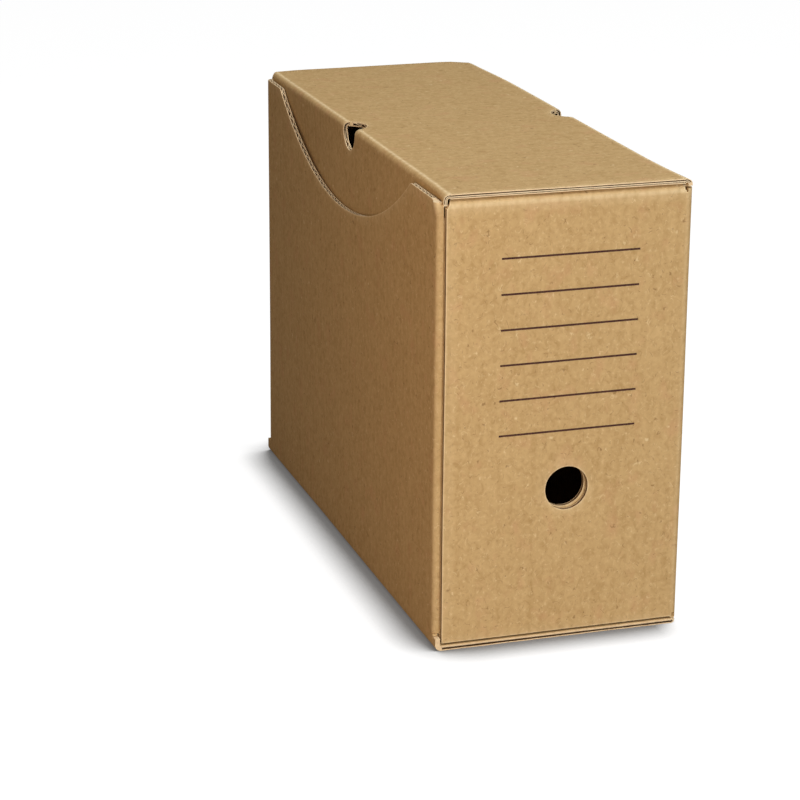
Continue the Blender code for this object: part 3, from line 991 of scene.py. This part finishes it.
for side, word in ((-1, "left"), (1, "right")):
    flap_place = pinched_place if side < 0 else mirrored_place(pinched_place)

    def flap_sheet(along, across, side=side):
        return (across, side * (LID_HALF + along))

    # The left flap's fluting shows to the end of its front stub, the right one's only round the crease.
    bent = leaning if side < 0 else flared
    opened, stub_reach = (2, ring_end + LEFT_STUB) if side < 0 else (1, ring_end + RIGHT_STUB)
    flap_outline = [
        (0, LID_FRONT),
        (OPEN_RING, LID_FRONT),
        (stub_reach, LID_FRONT),
        (stub_reach, -0.1805),
        (ring_end + 0.0085, FLAP_FRONT_TOP),
        *front_corner,
        *rear_corner,
        (ring_end, FLAP_REAR_TOP),
        (edge_flat + 0.7 * QUARTER, 0.1792),
        (edge_flat + 0.3 * QUARTER, 0.1804),
        (0, 0.1810),
    ]
    flap_raw = [flap_outline[: opened + 1], flap_outline[4:-1], flap_notch]
    flap_board = board_piece(
        f"lid_{word}_flap_board",
        flap_outline,
        flap_raw,
        flap_place,
        flap_sheet,
        flap_crease,
        [flap_hole],
        bent,
        flap_wear_and_highlight,
        crushed=[flap_outline[opened:5]],
        seams=((0, 0),),
    )
    flap_fluting = fluting_piece(
        f"lid_{word}_flap_fluting", flap_raw, flap_place, flap_sheet, bent, LID_DRIFT, pale_depth=0.0003
    )
    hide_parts(f"lid_{word}_flap")
    bend = {
        "start": (side * (LID_SIDE - CREASE_RADIUS / 2), 0, LID_TOP),
        "end": (side * LID_SIDE, 0, LID_TOP - BEND_DEPTH),
    }
    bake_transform(flap_board, "lid", word + "_flap", **bend)
    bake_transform(flap_fluting, "lid", word + "_flap", **bend)

# PRINTED LINES
# Six ruled lines for notes, printed in one dark brown ink on the front panel's liner. The ink is thin
# and a little uneven, as it is on unbleached paper.
LINE_LEFT, LINE_RIGHT = -0.0385, 0.0437
LINE_HEIGHTS = (0.2296, 0.2090, 0.1885, 0.1679, 0.1471, 0.1263)
LINE_WIDTH = 0.00115
INK_THICKNESS = 0.00008
LINE_PIECES = 22
printed, ink_tree, ink_output = new_material("flexographic_ink")
ink_place = add_node(ink_tree, "ShaderNodeTexCoord").outputs["Object"]
ink_noise = add_node(ink_tree, "ShaderNodeTexNoise", {"Scale": 900.0, "Detail": 3.0}, Vector=ink_place)
ink_colour = add_node(ink_tree, "ShaderNodeValToRGB", {}, Fac=ink_noise.outputs["Fac"])
ink_colour.color_ramp.elements[0].position = 0.35
ink_colour.color_ramp.elements[0].color = linear("#3E2521")
ink_colour.color_ramp.elements[1].position = 0.75
ink_colour.color_ramp.elements[1].color = linear("#5C3C2F")
ink_shader = add_node(
    ink_tree,
    "ShaderNodeBsdfPrincipled",
    {"Roughness": 0.7, "Specular IOR Level": 0.2},
    Base_Color=ink_colour.outputs[0],
)
ink_tree.links.new(ink_shader.outputs[0], ink_output.inputs["Surface"])
lines = bmesh.new()
width = LINE_RIGHT - LINE_LEFT
for height in LINE_HEIGHTS:
    bar = bmesh.ops.create_cube(lines, size=1)["verts"]
    bmesh.ops.scale(lines, vec=(width, LINE_WIDTH, INK_THICKNESS), verts=bar)
    middle = (LINE_LEFT + width / 2 - PANEL_LEFT, height, -INK_THICKNESS / 4)
    bmesh.ops.translate(lines, vec=middle, verts=bar)
for i in range(1, LINE_PIECES):
    every = [*lines.verts, *lines.edges, *lines.faces]
    spot = (LINE_LEFT - PANEL_LEFT + width * i / LINE_PIECES, 0, 0)
    bmesh.ops.bisect_plane(lines, geom=every, plane_co=spot, plane_no=(1, 0, 0))
for vert in lines.verts:
    vert.co = settled(panel_place(*vert.co))
bmesh.ops.recalc_face_normals(lines, faces=lines.faces)
ruled_lines = to_object("ruled_lines", lines, [printed])
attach(ruled_lines, "box")

# GLUE
# Lines of white dispersion glue that set to a dull pale film between the plies of the front and back.
set_glue, glue_tree, glue_output = new_material("set_dispersion_glue")
glue_place = add_node(glue_tree, "ShaderNodeTexCoord").outputs["Object"]
glue_noise = add_node(glue_tree, "ShaderNodeTexNoise", {"Scale": 260.0, "Detail": 2.0}, Vector=glue_place)
glue_colour = add_node(glue_tree, "ShaderNodeValToRGB", {}, Fac=glue_noise.outputs["Fac"])
glue_colour.color_ramp.elements[0].color = linear("#BFA376")
glue_colour.color_ramp.elements[1].color = linear("#E0D2B4")
glue_shader = add_node(
    glue_tree, "ShaderNodeBsdfPrincipled", {"Roughness": 0.45}, Base_Color=glue_colour.outputs[0]
)
glue_tree.links.new(glue_shader.outputs[0], glue_output.inputs["Surface"])
for node_name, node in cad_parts.items():
    if "glue_line" in node_name:
        node.data.materials.clear()
        node.data.materials.append(set_glue)

# CAMERA
# The photograph's angle: in front, to the left and above, from far enough away that the box's sides
# hardly converge.
AZIMUTH = math.radians(-17.73)
ELEVATION = math.radians(17.95)
ROLL = math.radians(0.39)
DISTANCE = 1.67354
FOCAL_PIXELS, PICTURE_PIXELS = 2661.85, 800
SENSOR = 36
AIM_RIGHT, AIM_UP = -0.03651, -0.04449
back_way = Vector(
    (math.sin(AZIMUTH) * math.cos(ELEVATION), -math.cos(AZIMUTH) * math.cos(ELEVATION), math.sin(ELEVATION))
)
level_right = Vector((math.cos(AZIMUTH), math.sin(AZIMUTH), 0))
level_up = back_way.cross(level_right)
right_way = level_right * math.cos(ROLL) + level_up * math.sin(ROLL)
up_way = level_up * math.cos(ROLL) - level_right * math.sin(ROLL)
lens = bpy.data.cameras.new("camera")
lens.sensor_width = SENSOR
lens.lens = FOCAL_PIXELS / PICTURE_PIXELS * SENSOR
lens.clip_start, lens.clip_end = 0.05, 50
camera = bpy.data.objects.new("camera", lens)
bpy.context.scene.collection.objects.link(camera)
turn = Matrix((right_way, up_way, back_way)).transposed().to_4x4()
stand = Vector((0, 0, BOX_HEIGHT / 2)) + back_way * DISTANCE + right_way * AIM_RIGHT + up_way * AIM_UP
camera.matrix_world = Matrix.Translation(stand) @ turn
bpy.context.scene.camera = camera

# STUDIO
# A plain white floor that keeps the box's soft shadow, a softbox overhead, a low lamp far in front and
# a small warm one low on the left, which lights the left wall's front more than its back. The floor
# glows to the camera, and has a painted shadow, from ambient occlusion, round the foot of the box,
# but not to its right.
FLOOR_GLOW = 0.95
floor_white, white_tree, white_output = new_material("studio_floor")
# Painted shadow: ambient occlusion near the box darkens the floor's glow.
near_box = add_node(white_tree, "ShaderNodeAmbientOcclusion", {"samples": 16, "Distance": 0.034})
painted_shadow_range = {1: 0.56, 2: 0.93, 3: 0.10, 4: 1.0}
painted_contact_shadow = add_node(white_tree, "ShaderNodeMapRange", painted_shadow_range, s0=near_box.outputs["AO"])
white_shader = add_node(
    white_tree,
    "ShaderNodeBsdfPrincipled",
    {"Base Color": linear("#707172"), "Roughness": 0.9, "Specular IOR Level": 0.1},
)
on_floor = add_node(white_tree, "ShaderNodeTexCoord")
parts = add_node(white_tree, "ShaderNodeSeparateXYZ", {}, s0=on_floor.outputs["Object"])
lit_side = add_node(white_tree, "ShaderNodeMapRange", {1: 0.060, 2: 0.078}, s0=parts.outputs[0])
painted_contact_shadow = add_node(white_tree, "ShaderNodeMix", {3: 1.0}, s0=lit_side.outputs[0], s2=painted_contact_shadow.outputs[0])
glow = add_node(white_tree, "ShaderNodeMath", {"operation": "MULTIPLY", 1: FLOOR_GLOW}, s0=painted_contact_shadow.outputs[0])
lift = add_node(white_tree, "ShaderNodeEmission", {"Color": (1, 1, 1, 1)}, Strength=glow.outputs[0])
path = add_node(white_tree, "ShaderNodeLightPath")
both = add_node(white_tree, "ShaderNodeAddShader", {}, s0=white_shader.outputs[0], s1=lift.outputs[0])
dim_shader = add_node(
    white_tree,
    "ShaderNodeBsdfPrincipled",
    {"Base Color": linear("#9A8F84"), "Roughness": 0.9, "Specular IOR Level": 0.0},
)
seen = add_node(
    white_tree,
    "ShaderNodeMixShader",
    {},
    s0=path.outputs["Is Camera Ray"],
    s1=dim_shader.outputs[0],
    s2=both.outputs[0],
)
white_tree.links.new(seen.outputs[0], white_output.inputs["Surface"])
ground = bmesh.new()
bmesh.ops.create_grid(ground, x_segments=1, y_segments=1, size=6)
studio_floor = to_object("studio_floor", ground, [floor_white])

world = bpy.data.worlds.new("studio")
world.use_nodes = True
world.node_tree.nodes.clear()
sky_output = world.node_tree.nodes.new("ShaderNodeOutputWorld")
sky_path = add_node(world.node_tree, "ShaderNodeLightPath").outputs["Is Camera Ray"]
sky_range = {1: 0.0, 2: 1.0, 3: 0.07, 4: 1.0}
sky_strength = add_node(world.node_tree, "ShaderNodeMapRange", sky_range, s0=sky_path).outputs[0]
sky = add_node(world.node_tree, "ShaderNodeBackground", {"Color": (1, 1, 1, 1)}, Strength=sky_strength)
world.node_tree.links.new(sky.outputs[0], sky_output.inputs["Surface"])
bpy.context.scene.world = world

for lamp_name, colour, place, size, power in (
    ("top_lamp", "#FFFFFF", (0.15, -0.50, 2.00), 1.6, 32),
    ("front_lamp", "#FFFFFF", (0.20, -2.25, 0.38), 0.7, 23.8),
    ("side_lamp", "#F2D0B0", (-0.52, -0.42, 0.28), 0.35, 1.15),
):
    lamp_data = bpy.data.lights.new(lamp_name, "AREA")
    lamp_data.color = linear(colour)[:3]
    lamp_data.size = size
    lamp_data.energy = power
    lamp = bpy.data.objects.new(lamp_name, lamp_data)
    bpy.context.scene.collection.objects.link(lamp)
    aim = Vector((0, 0, 0.12)) - Vector(place)
    lamp.matrix_world = Matrix.Translation(place) @ aim.to_track_quat("-Z", "Y").to_matrix().to_4x4()

bpy.context.scene.view_settings.view_transform = "Standard"
